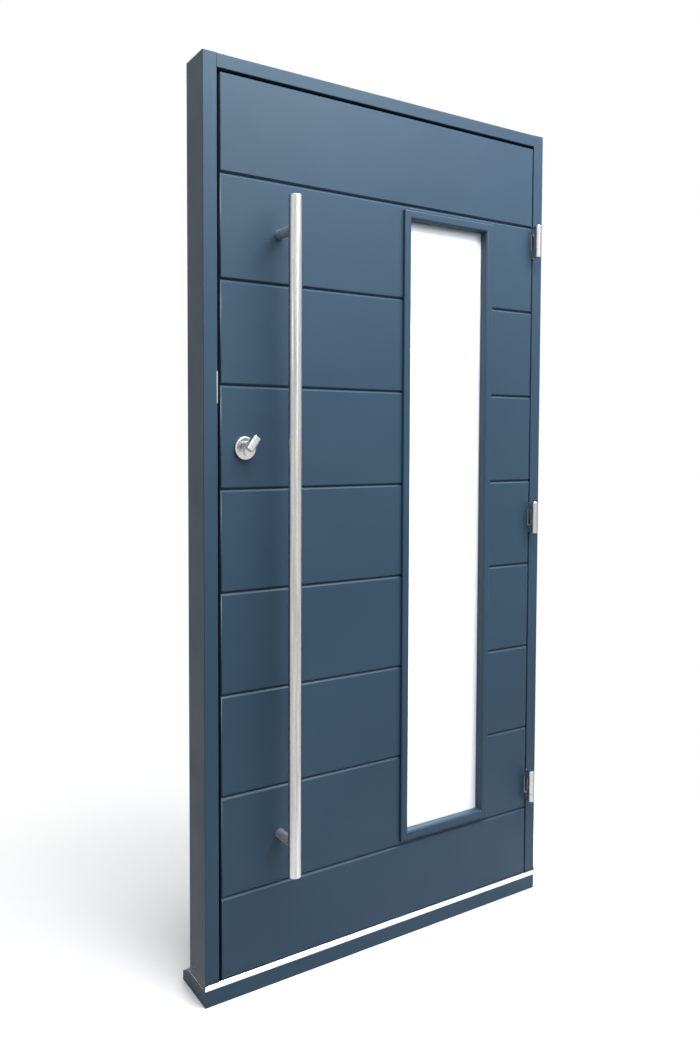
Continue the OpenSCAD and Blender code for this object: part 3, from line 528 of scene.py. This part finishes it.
class MeshKit:
    """Short calls that make a piece's mesh and put it on its body."""

    SMOOTH_ANGLE = math.radians(38.0)
    MERGE = TINY
    FLAT = math.radians(0.5)

    @classmethod
    def piece(
        cls, bm: bmesh.types.BMesh, name: str, finish: Finish, nodes: list[str], body: str | None = None,
    ) -> bpy.types.Object:
        """Turns a mesh into a piece that stands for CAD nodes of one body.

        Args:
            bm: The mesh, in the row's frame.
            name: The piece's name.
            finish: What it is made of.
            nodes: The nodes that it replaces, which may be none.
            body: The body that it rides on, or None for that of its first node.

        Returns:
            The new object.
        """
        mesh = bpy.data.meshes.new(name)
        bmesh.ops.recalc_face_normals(bm, faces=bm.faces)
        bm.to_mesh(mesh)
        bm.free()
        mesh.shade_smooth()
        mesh.set_sharp_from_angle(angle=cls.SMOOTH_ANGLE)
        mesh.materials.append(finish.material())
        piece = bpy.data.objects.new(name, mesh)
        bpy.context.scene.collection.objects.link(piece)
        weighted = piece.modifiers.new("even_shading", "WEIGHTED_NORMAL")
        weighted.keep_sharp = True
        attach(piece, body or frame["nodes"][nodes[0]]["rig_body"])
        if nodes:
            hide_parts(*nodes)
        LOG.info("%s: %d faces in %s", name, len(mesh.polygons), finish.name)
        return piece

    @classmethod
    def solid(cls, node: str) -> bmesh.types.BMesh:
        """Copies a CAD node's mesh, with its flat faces made whole.

        Args:
            node: The node's name.

        Returns:
            The copy.
        """
        bm = bmesh.new()
        bm.from_mesh(frame["nodes"][node].data)
        bmesh.ops.remove_doubles(bm, verts=bm.verts, dist=cls.MERGE)
        bmesh.ops.dissolve_limit(bm, angle_limit=cls.FLAT, verts=bm.verts, edges=bm.edges)
        return bm

    @classmethod
    def eased(cls, node: str, finish: Finish, edge: EdgeRound | None) -> bpy.types.Object:
        """Makes a piece of a CAD node's own form, with its straight edges eased.

        Args:
            node: The node's name.
            finish: What it is made of.
            edge: How its edges are eased, or None to leave them.

        Returns:
            The new object.
        """
        bm = cls.solid(node)
        if edge:
            edge.apply(bm)
        return cls.piece(bm, f"{node}_dressed", finish, [node])

    @staticmethod
    def rings(bm: bmesh.types.BMesh, rings: list[list[Point]], closed: bool = True) -> None:
        """Skins a row of rings of equal count, and closes the two ends with faces.

        Args:
            bm: The mesh to add to.
            rings: The rings' points.
            closed: Whether the first and the last ring get a face each.
        """
        made = [[bm.verts.new(point) for point in ring] for ring in rings]
        count = len(rings[0])
        for low, high in zip(made, made[1:]):
            for i in range(count):
                j = (i + 1) % count
                bm.faces.new((low[i], low[j], high[j], high[i]))
        if closed:
            bm.faces.new(list(reversed(made[0])))
            bm.faces.new(made[-1])

    @staticmethod
    def islands(node: str) -> list[tuple[Vector, Vector]]:
        """Finds the separate solids of a node.

        Args:
            node: The node's name.

        Returns:
            The lowest and highest corner of each solid, from the lowest solid up.
        """
        bm = MeshKit.solid(node)
        left, boxes = set(bm.verts), []
        while left:
            wave = [left.pop()]
            group = list(wave)
            while wave:
                near = {edge.other_vert(vert) for vert in wave for edge in vert.link_edges} & left
                left -= near
                group += near
                wave = list(near)
            low = Vector(min(vert.co[axis] for vert in group) for axis in range(3))
            high = Vector(max(vert.co[axis] for vert in group) for axis in range(3))
            boxes.append((low, high))
        bm.free()

        def order(box: tuple[Vector, Vector]) -> tuple[float, ...]:
            """Sorts by height first, then along X and Y."""
            return tuple(round(value, 5) for value in (box[0].z, box[0].x, box[0].y))

        return sorted(boxes, key=order)

    @staticmethod
    def circle(radius: float, count: int) -> list[tuple[float, float]]:
        """Points round a circle.

        Args:
            radius: Its radius.
            count: How many points.

        Returns:
            The points, as pairs.
        """
        turns = [2.0 * math.pi * i / count for i in range(count)]
        return [(radius * math.cos(turn), radius * math.sin(turn)) for turn in turns]


@dataclass
class SubAssembly(ABC):
    """A group of pieces that come apart together on a bench."""

    @abstractmethod
    def build(self) -> None:
        """Builds and dresses the group's pieces."""

    @staticmethod
    def keep(finish: Finish, *nodes: str) -> None:
        """Gives CAD nodes that keep their own mesh a finish.

        Args:
            finish: What they are made of.
            nodes: The nodes' names.
        """
        for node in nodes:
            solid = frame["nodes"][node]
            solid.data.materials.clear()
            solid.data.materials.append(finish.material())
            LOG.info("%s: its own form in %s", node, finish.name)


@dataclass
class CrossScrews(SubAssembly):
    """Countersunk screws with a cross recess, standing for one node's group of screws.

    Args:
        node: The node with the screws.
        facing: The sign along X that the heads face.
    """

    node: str
    facing: int
    arm_half: float = 0.00055
    arm_reach: float = 0.0023
    recess: float = 0.0013
    recess_draft: float = 0.72
    head_depth: float = 0.002
    head_radius: float = 0.004
    shank_radius: float = 0.002

    def build(self) -> None:
        """Builds every screw of the node in one piece."""
        bm = bmesh.new()
        for low, high in MeshKit.islands(self.node):
            face_x = high.x if self.facing > 0 else low.x
            length = high.x - low.x
            self.screw(bm, Vector((face_x, (low.y + high.y) / 2, (low.z + high.z) / 2)), length)
        MeshKit.piece(bm, f"{self.node}_dressed", PLATE_STEEL, [self.node])

    def angles(self) -> list[float]:
        """Angles round a head that meet the corners of its cross.

        Returns:
            The angles in radians.
        """
        corner = math.atan2(self.arm_half, self.arm_reach)
        middle = math.pi / 4
        steps = [-corner, 0.0, corner, (corner + middle) / 2, middle, math.pi / 2 - (corner + middle) / 2]
        return [quarter * math.pi / 2 + step for quarter in range(4) for step in steps]

    def cross(self, angle: float) -> float:
        """Distance from the middle to the cross's outline.

        Args:
            angle: The direction in radians.

        Returns:
            The distance in metres.
        """
        turn = (angle + math.pi / 4) % (math.pi / 2) - math.pi / 4
        side = self.arm_half / max(abs(math.sin(turn)), TINY)
        return min(self.arm_reach / math.cos(turn), side)

    def screw(self, bm: bmesh.types.BMesh, middle: Vector, length: float) -> None:
        """Adds one screw.

        Args:
            bm: The mesh to add to.
            middle: The middle of the head's face.
            length: The screw's length.
        """
        angles = self.angles()
        outline = [self.cross(angle) for angle in angles]

        def ring(radii: list[float], depth: float) -> list[Point]:
            """A ring round the screw's axis.

            Args:
                radii: The radius at each angle.
                depth: How far below the head's face it lies.

            Returns:
                The ring's points.
            """
            x = middle.x - self.facing * depth
            return [
                (x, middle.y + radius * math.cos(angle), middle.z + radius * math.sin(angle))
                for radius, angle in zip(radii, angles)
            ]

        even = [1.0] * len(angles)
        MeshKit.rings(bm, [
            ring([self.shank_radius * one for one in even], length),
            ring([self.shank_radius * one for one in even], self.head_depth),
            ring([self.head_radius * one for one in even], 0.0),
            ring(outline, 0.0),
            ring([self.recess_draft * radius for radius in outline], self.recess),
        ])


@dataclass
class TimberFrame(SubAssembly):
    """The jambs, the head and the cill."""

    edge: EdgeRound = TIMBER_EDGE

    def build(self) -> None:
        """Dresses the four timbers, each with its grain along its length."""
        for node in ("lock_jamb", "hinge_jamb"):
            MeshKit.eased(node, POST_PAINT, self.edge)
        for node in ("frame_head", "cill"):
            MeshKit.eased(node, BOARD_PAINT, self.edge)


@dataclass
class Threshold(SubAssembly):
    """The aluminium threshold, its seal and the pads under the jambs."""

    edge: EdgeRound = PLATE_EDGE

    def build(self) -> None:
        """Dresses the bar, the seal and the pads."""
        MeshKit.eased("threshold_bar", ALUMINIUM, self.edge)
        for node in ("threshold_seal", "jamb_pads"):
            MeshKit.eased(node, RUBBER, self.edge)


@dataclass(frozen=True)
class Uneven:
    """A share that wavers along a bead laid by hand, the same on each run.

    Args:
        middle: Its middle value.
        stray: How far it strays from that.
        phase: What sets its line apart from another.
    """

    middle: float
    stray: float
    phase: float
    rates: tuple[float, ...] = (431.0, 187.0, 71.0)

    def at(self, length: float) -> float:
        """Gives the share at a place along the bead.

        Args:
            length: How far along the bead, in metres.

        Returns:
            The share.
        """
        waves = (math.sin(rate * length + self.phase * rate) for rate in self.rates)
        return self.middle + self.stray * (sum(waves) / len(self.rates))


@dataclass
class FootSealant(SubAssembly):
    """The bead of sealant that closes the joint between a jamb's foot and the threshold.

    Args:
        jamb: The jamb's node.
        outward: The sign along X of the jamb's outer side.
    """

    jamb: str
    outward: int
    step: float = 0.0025
    depth: float = 0.005
    front_lip: float = 0.003
    side_lip: float = 0.011
    swell: float = 0.0008
    edge_height: float = 0.013
    bare_edge: float = 0.0014
    lip_share: Uneven = Uneven(0.8, 0.2, 0.3)
    foot_share: Uneven = Uneven(0.0, 0.6, 1.7)
    shoulder_swell: Uneven = Uneven(0.7, 0.5, 0.9)
    belly_swell: Uneven = Uneven(0.6, 0.6, 2.3)
    lip_swell: float = 0.1
    foot_swell: float = 0.4

    def route(self) -> list[tuple[Point, Point, float, float]]:
        """Follows the jamb's foot from its inner corner round to its rear.

        Returns:
            For each station a point, the way out of the jamb, the height of the bead's foot and its lip.
        """
        low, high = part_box(self.jamb)
        bar_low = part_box("threshold_bar")[0]
        head_low, head_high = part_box("frame_head")
        inner, outer = (head_low.x, low.x) if self.outward < 0 else (head_high.x, high.x)
        across = round(abs(outer - inner) / self.step)
        along = round((high.y - low.y) / self.step)
        edge_top = bar_low.z + self.edge_height
        edge_foot = bar_low.z + self.bare_edge
        front = [
            ((inner + (outer - inner) * i / across, low.y, low.z), (0.0, -1.0, 0.0), edge_top, self.front_lip)
            for i in range(across)
        ]
        corner = [((outer, low.y, low.z), (float(self.outward), -1.0, 0.0), edge_top, self.front_lip)]
        out = (float(self.outward), 0.0, 0.0)
        side = [
            ((outer, low.y + (high.y - low.y) * i / along, low.z), out, edge_foot, self.side_lip)
            for i in range(1, along)
        ]
        return [*front, *corner, *side]

    def build(self) -> None:
        """Draws an uneven section along the route."""
        rings = []
        for i, (point, out, seat, lip) in enumerate(self.route()):
            length = i * self.step
            top = point[2] + lip * self.lip_share.at(length)
            foot = seat + self.bare_edge * self.foot_share.at(length)
            middle = (point[2] + seat) / 2
            section = (
                (-self.depth, foot),
                (-self.depth, point[2]),
                (self.swell * self.lip_swell, top),
                (self.swell * self.shoulder_swell.at(length), point[2]),
                (self.swell * self.belly_swell.at(length), middle),
                (self.swell * self.foot_swell, foot),
            )
            rings.append([(point[0] + go * out[0], point[1] + go * out[1], height) for go, height in section])
        bm = bmesh.new()
        MeshKit.rings(bm, rings)
        MeshKit.piece(bm, f"{self.jamb}_sealant", SEALANT, [], frame["nodes"][self.jamb]["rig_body"])


@dataclass
class StopSeals(SubAssembly):
    """The rubber seals in the stops."""

    def build(self) -> None:
        """Dresses the three seals."""
        for node in ("lock_side_seal", "hinge_side_seal", "head_seal"):
            MeshKit.eased(node, RUBBER, None)


@dataclass
class Keeps(SubAssembly):
    """The keeps in the lock jamb and their screws."""

    edge: EdgeRound = PLATE_EDGE

    def build(self) -> None:
        """Dresses the plates and builds their screws."""
        for node in ("latch_keep", "upper_hook_keep", "lower_hook_keep"):
            MeshKit.eased(node, PLATE_STEEL, self.edge)
        CrossScrews("keep_screws", 1).build()


@dataclass
class Hinges(SubAssembly):
    """Three butt hinges with their pins and screws."""

    edge: EdgeRound = HINGE_EDGE
    heights: tuple[str, ...] = ("upper", "middle", "lower")

    def build(self) -> None:
        """Dresses the flaps and the pins and builds the screws."""
        for height in self.heights:
            for flap in ("frame", "leaf"):
                MeshKit.eased(f"{height}_hinge_{flap}_flap", PLATE_STEEL, self.edge)
        MeshKit.eased("hinge_pins", PLATE_STEEL, None)
        CrossScrews("hinge_frame_screws", -1).build()
        CrossScrews("hinge_leaf_screws", 1).build()


@dataclass
class Leaf(SubAssembly):
    """The grooved slab and the weather bar at its foot."""

    edge: EdgeRound = LEAF_EDGE

    def build(self) -> None:
        """Dresses the slab and the bar."""
        for node in ("door_leaf", "weather_bar"):
            MeshKit.eased(node, BOARD_PAINT, self.edge)


@dataclass
class Glazing(SubAssembly):
    """The sealed unit and the mouldings that hold it."""

    edge: EdgeRound = BEAD_EDGE
    pane_edge: EdgeRound = GLASS_EDGE

    def build(self) -> None:
        """Dresses the panes, what seals them and the mouldings."""
        self.face("inner", INNER_GLASS)
        self.face("outer", OUTER_GLASS)
        self.keep(RUBBER, "glazing_spacer", "setting_blocks", "glazing_tapes")

    def face(self, side: str, glass: Finish) -> None:
        """Dresses one side's pane and its four mouldings.

        Args:
            side: The side's name.
            glass: What its pane is made of.
        """
        pane = MeshKit.eased(f"{side}_pane", glass, self.pane_edge)
        pane.visible_shadow = False
        for runs, finish in ((("top", "bottom"), BOARD_PAINT), (("lock", "hinge"), POST_PAINT)):
            for run in runs:
                MeshKit.eased(f"{side}_{run}_bead", finish, self.edge)


@dataclass
class PullHandle(SubAssembly):
    """A long bar on two posts, on one face of the leaf.

    Args:
        side: The face that it is on.
    """

    side: Side
    count: int = 96
    end_round: float = 0.0015
    round_steps: int = 5
    foot_bevel: float = 0.0006
    stations: int = 12
    radius: float = field(init=False)
    axis: Vector = field(init=False)

    def build(self) -> None:
        """Builds the bar and the posts."""
        side = self.side.name.lower()
        low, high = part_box(f"{side}_pull_bar")
        self.radius = (high.x - low.x) / 2
        self.axis = (low + high) / 2
        self.bar(f"{side}_pull_bar", low.z, high.z)
        self.posts(f"{side}_posts")

    def bar(self, node: str, bottom: float, top: float) -> None:
        """Builds the bar as a turned length with rounded ends.

        Args:
            node: The node that it stands for.
            bottom: The height of its lower end.
            top: The height of its upper end.
        """
        turns = [math.pi / 2 * i / self.round_steps for i in range(self.round_steps + 1)]
        foot = [
            (
                self.radius - self.end_round * (1 - math.sin(turn)),
                bottom + self.end_round * (1 - math.cos(turn)),
            )
            for turn in turns
        ]
        head = [(radius, bottom + top - height) for radius, height in reversed(foot)]
        span = head[0][1] - foot[-1][1]
        shaft = [(self.radius, foot[-1][1] + span * i / self.stations) for i in range(1, self.stations)]
        bm = bmesh.new()
        MeshKit.rings(bm, [
            [(self.axis.x + x, self.axis.y + y, height) for x, y in MeshKit.circle(radius, self.count)]
            for radius, height in [*foot, *shaft, *head]
        ])
        MeshKit.piece(bm, f"{node}_dressed", BAR_STEEL, [node])

    def posts(self, node: str) -> None:
        """Builds the posts, each with an eased foot and a saddle that fits the bar.

        Args:
            node: The node that they stand for.
        """
        sign = self.side.value
        bm = bmesh.new()
        for low, high in MeshKit.islands(node):
            radius = (high.x - low.x) / 2
            height = (low.z + high.z) / 2
            wall = high.y if self.side is Side.INNER else low.y
            rim = MeshKit.circle(radius, self.count)
            foot = MeshKit.circle(radius - self.foot_bevel, self.count)
            saddle = [self.axis.y - sign * math.sqrt(self.radius ** 2 - x ** 2) for x, _ in rim]
            MeshKit.rings(bm, [
                [(self.axis.x + x, wall, height + z) for x, z in foot],
                [(self.axis.x + x, wall + sign * self.foot_bevel, height + z) for x, z in rim],
                [(self.axis.x + x, y, height + z) for (x, z), y in zip(rim, saddle)],
            ])
        MeshKit.piece(bm, f"{node}_dressed", POST_STEEL, [node])


@dataclass
class LockWorks(SubAssembly):
    """The faceplate, the bolts and hooks that pass it, and the cases behind it."""

    edge: EdgeRound = PLATE_EDGE

    def build(self) -> None:
        """Dresses what shows in the leaf's edge and finishes what lies inside."""
        for node in ("lock_faceplate", "latch_bolt", "deadbolt"):
            MeshKit.eased(node, PLATE_STEEL, self.edge)
        for node in ("upper_hook", "lower_hook"):
            MeshKit.eased(node, ZINC, self.edge)
        CrossScrews("faceplate_screws", -1).build()
        self.keep(ZINC, "lock_case", "upper_hook_case", "lower_hook_case")
        self.keep(ZINC, "upper_drive_rod", "lower_drive_rod", "handle_bolts")


@dataclass
class CylinderSet(SubAssembly):
    """The profile cylinder with its roses, key plug, thumb turn and cam."""

    edge: EdgeRound = TURN_EDGE
    body_edge: EdgeRound = CYLINDER_EDGE
    stem_half: float = 0.005
    hole_gap: float = 0.0003
    rim_round: float = 0.0025
    rim_steps: int = 8
    count: int = 120

    def build(self) -> None:
        """Dresses the cylinder and the turn, and builds the roses."""
        MeshKit.eased("cylinder_body", SATIN_STEEL, self.body_edge)
        MeshKit.eased("key_plug", SATIN_STEEL, self.body_edge)
        MeshKit.eased("thumb_turn", SATIN_STEEL, self.edge)
        self.keep(ZINC, "cylinder_cam")
        for side in Side:
            self.rose(side)

    def hole(self, angle: float, head: float, radius: float, foot: float) -> float:
        """Distance from a rose's middle to the edge of its keyhole-shaped hole.

        Args:
            angle: The direction in radians, from +X towards +Z.
            head: Height of the middle of the hole's large round over the rose's middle.
            radius: The radius of that round.
            foot: Height of the middle of the round at the stem's foot.

        Returns:
            The distance in metres.
        """
        up = math.sin(angle)
        half = self.stem_half + self.hole_gap
        side = half / max(abs(math.cos(angle)), TINY)
        if side * up > head - math.sqrt(radius ** 2 - half ** 2):
            centre, reach = head, radius
        elif side * up < foot:
            centre, reach = foot, half
        else:
            return side
        return centre * up + math.sqrt((centre * up) ** 2 - centre ** 2 + reach ** 2)

    def rose(self, side: Side) -> None:
        """Builds a rose as a turned cover with a rounded rim and a keyhole-shaped hole.

        Args:
            side: The face that it is on.
        """
        node = f"{side.name.lower()}_rose"
        low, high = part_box(node)
        body_low, body_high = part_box("cylinder_body")
        middle = (low + high) / 2
        radius = (high.x - low.x) / 2
        body_radius = (body_high.x - body_low.x) / 2
        head = body_high.z - body_radius - middle.z
        foot = body_low.z + self.stem_half - middle.z
        wall, face = (high.y, low.y) if side is Side.INNER else (low.y, high.y)
        sign = side.value
        turns = [2.0 * math.pi * i / self.count for i in range(self.count)]
        hole = [self.hole(turn, head, body_radius + self.hole_gap, foot) for turn in turns]

        def ring(radii: list[float], depth: float) -> list[Point]:
            """A ring round the rose's axis.

            Args:
                radii: The radius at each angle.
                depth: Where it lies along Y.

            Returns:
                The ring's points.
            """
            return [
                (middle.x + reach * math.cos(turn), depth, middle.z + reach * math.sin(turn))
                for reach, turn in zip(radii, turns)
            ]

        rim = [math.pi / 2 * i / self.rim_steps for i in range(self.rim_steps + 1)]
        rows = [ring(hole, wall), ring([radius] * self.count, wall)]
        rows += [
            ring([radius - self.rim_round * (1 - math.cos(step))] * self.count,
                 face - sign * self.rim_round * (1 - math.sin(step)))
            for step in rim
        ]
        rows += [ring(hole, face), ring(hole, wall)]
        bm = bmesh.new()
        MeshKit.rings(bm, rows, closed=False)
        bmesh.ops.remove_doubles(bm, verts=bm.verts, dist=MeshKit.MERGE)
        MeshKit.piece(bm, f"{node}_dressed", SATIN_STEEL, [node])


@dataclass(frozen=True)
class SoftBox:
    """A soft lamp.

    Args:
        name: The lamp's name.
        place: Where it stands.
        aim: What it points at.
        size: Its width and height in metres.
        power: Its power in watts.
        colour: The colour of its light.
    """

    name: str
    place: Point
    aim: Point
    size: tuple[float, float]
    power: float
    colour: Colour = (1.0, 1.0, 1.0)

    def build(self) -> None:
        """Hangs the lamp and points it."""
        data = bpy.data.lights.new(self.name, "AREA")
        data.shape = "RECTANGLE"
        data.size, data.size_y = self.size
        data.energy = self.power
        data.color = self.colour
        lamp = bpy.data.objects.new(self.name, data)
        lamp.location = self.place
        lamp.rotation_euler = (Vector(self.aim) - Vector(self.place)).to_track_quat("-Z", "Y").to_euler()
        bpy.context.scene.collection.objects.link(lamp)


@dataclass
class Studio:
    """The floor, the light and the camera."""

    ambient: float = 0.22
    floor_size: float = 60.0
    floor_white: float = 0.86
    floor_bounce: float = 0.12
    floor_rough: float = 0.9
    shadow_near: float = 0.7
    shadow_far: float = 1.5
    photo_width: float = 700.0
    photo_height: float = 1040.0
    focal_pixels: float = 855.7
    centre_pixels: tuple[float, float] = (302.8, 479.6)
    camera_place: Point = (-1.2866, -1.7631, 1.2621)
    camera_turn: Point = (87.557, -0.093, -31.155)
    sensor: float = 36.0
    lamps: tuple[SoftBox, ...] = (
        SoftBox("top_box", (0.4, -1.6, 4.1), (0.2, -0.1, 1.2), (4.0, 1.2), 255.0),
        SoftBox("sky_box", (1.8, -4.2, 4.5), (0.0, 0.0, 1.6), (4.0, 3.0), 165.0, (0.62, 0.77, 0.95)),
        SoftBox("left_strip", (-3.9, -1.2, 2.6), (0.0, 0.0, 1.7), (0.7, 2.0), 9.0, (0.7, 0.86, 1.0)),
        SoftBox("front_strip", (0.1, -4.3, 2.4), (-0.3, 0.0, 1.6), (0.7, 2.0), 14.0),
        SoftBox("rear_box", (1.5, 3.8, 3.4), (0.0, 0.0, 1.0), (2.8, 2.2), 150.0),
    )

    def build(self) -> None:
        """Sets the stage."""
        bpy.context.scene.view_settings.view_transform = "Standard"
        self.world()
        self.floor()
        for lamp in self.lamps:
            lamp.build()
        self.camera()

    @staticmethod
    def seen(tree: bpy.types.NodeTree) -> bpy.types.NodeSocket:
        """Tells rays that show the background from those that light the object.

        Args:
            tree: The node tree to add to.

        Returns:
            A value of 1 for camera, glossy and transmission rays.
        """
        path = tree.nodes.new("ShaderNodeLightPath")
        total = path.outputs["Is Camera Ray"]
        for name in ("Is Glossy Ray", "Is Transmission Ray"):
            either = tree.nodes.new("ShaderNodeMath")
            either.operation = "MAXIMUM"
            tree.links.new(total, either.inputs[0])
            tree.links.new(path.outputs[name], either.inputs[1])
            total = either.outputs[0]
        return total

    def world(self) -> None:
        """Makes the surroundings white to look at and plain as light."""
        world = bpy.data.worlds.new("white_surroundings")
        world.use_nodes = True
        bpy.context.scene.world = world
        tree = world.node_tree
        background = tree.nodes["Background"]
        background.inputs["Color"].default_value = (1.0, 1.0, 1.0, 1.0)
        strength = tree.nodes.new("ShaderNodeMapRange")
        strength.inputs["To Min"].default_value = self.ambient
        strength.inputs["To Max"].default_value = 1.0
        tree.links.new(self.seen(tree), strength.inputs["Value"])
        tree.links.new(strength.outputs["Result"], background.inputs["Strength"])

    def floor(self) -> None:
        """Lays a pale floor that keeps the shadow near the door and fades to white."""
        half = self.floor_size / 2
        corners = [(-half, -half, 0.0), (half, -half, 0.0), (half, half, 0.0), (-half, half, 0.0)]
        mesh = bpy.data.meshes.new("floor")
        mesh.from_pydata(corners, [], [(0, 1, 2, 3)])
        mesh.materials.append(self.floor_finish())
        floor = bpy.data.objects.new("floor", mesh)
        bpy.context.scene.collection.objects.link(floor)

    def floor_finish(self) -> bpy.types.Material:
        """Builds the floor's surface: pale and shadowed near the door, and a plain white glow further off.

        Returns:
            The material.
        """
        graph = NodeGraph("pale_floor")
        seen = self.seen(graph.tree)
        tone = graph.add("ShaderNodeMapRange", Value=seen, To_Min=self.floor_bounce, To_Max=self.floor_white)
        graph.set(Base_Color=tone.outputs["Result"], Roughness=self.floor_rough, Specular_IOR_Level=0.0)
        length = graph.add("ShaderNodeVectorMath")
        length.operation = "LENGTH"
        graph.feed(length.inputs[0], graph.place)
        fade = graph.add("ShaderNodeMapRange", Value=length.outputs["Value"])
        fade.interpolation_type = "SMOOTHSTEP"
        fade.inputs["From Min"].default_value = self.shadow_near
        fade.inputs["From Max"].default_value = self.shadow_far
        through = graph.add("ShaderNodeLightPath").outputs["Is Transmission Ray"]
        white = graph.join("MAXIMUM", fade.outputs["Result"], through)
        mix = graph.add("ShaderNodeMixShader", Fac=graph.join("MULTIPLY", white, seen))
        graph.feed(mix.inputs[1], graph.shader.outputs["BSDF"])
        graph.feed(mix.inputs[2], graph.add("ShaderNodeEmission").outputs["Emission"])
        graph.feed(graph.tree.nodes["Material Output"].inputs["Surface"], mix.outputs["Shader"])
        return graph.material

    def camera(self) -> None:
        """Puts the camera where the photograph was taken from."""
        data = bpy.data.cameras.new("camera")
        data.sensor_width = self.sensor
        data.lens = self.focal_pixels / self.photo_height * self.sensor
        data.shift_x = (self.photo_width / 2 - self.centre_pixels[0]) / self.photo_height
        data.shift_y = (self.centre_pixels[1] - self.photo_height / 2) / self.photo_height
        camera = bpy.data.objects.new("camera", data)
        camera.location = self.camera_place
        camera.rotation_euler = Euler([math.radians(turn) for turn in self.camera_turn])
        bpy.context.scene.collection.objects.link(camera)
        bpy.context.scene.camera = camera


def main() -> None:
    """Builds the door set's groups in order, then the stage."""
    logging.basicConfig(level=logging.INFO, format="%(message)s")
    groups: list[SubAssembly] = [
        TimberFrame(), Threshold(), FootSealant("lock_jamb", -1), FootSealant("hinge_jamb", 1),
        StopSeals(), Keeps(), Hinges(), Leaf(), Glazing(),
        *(PullHandle(side) for side in Side), LockWorks(), CylinderSet(),
    ]
    for group in groups:
        group.build()
    Studio().build()


if __name__ == "__main__":
    main()
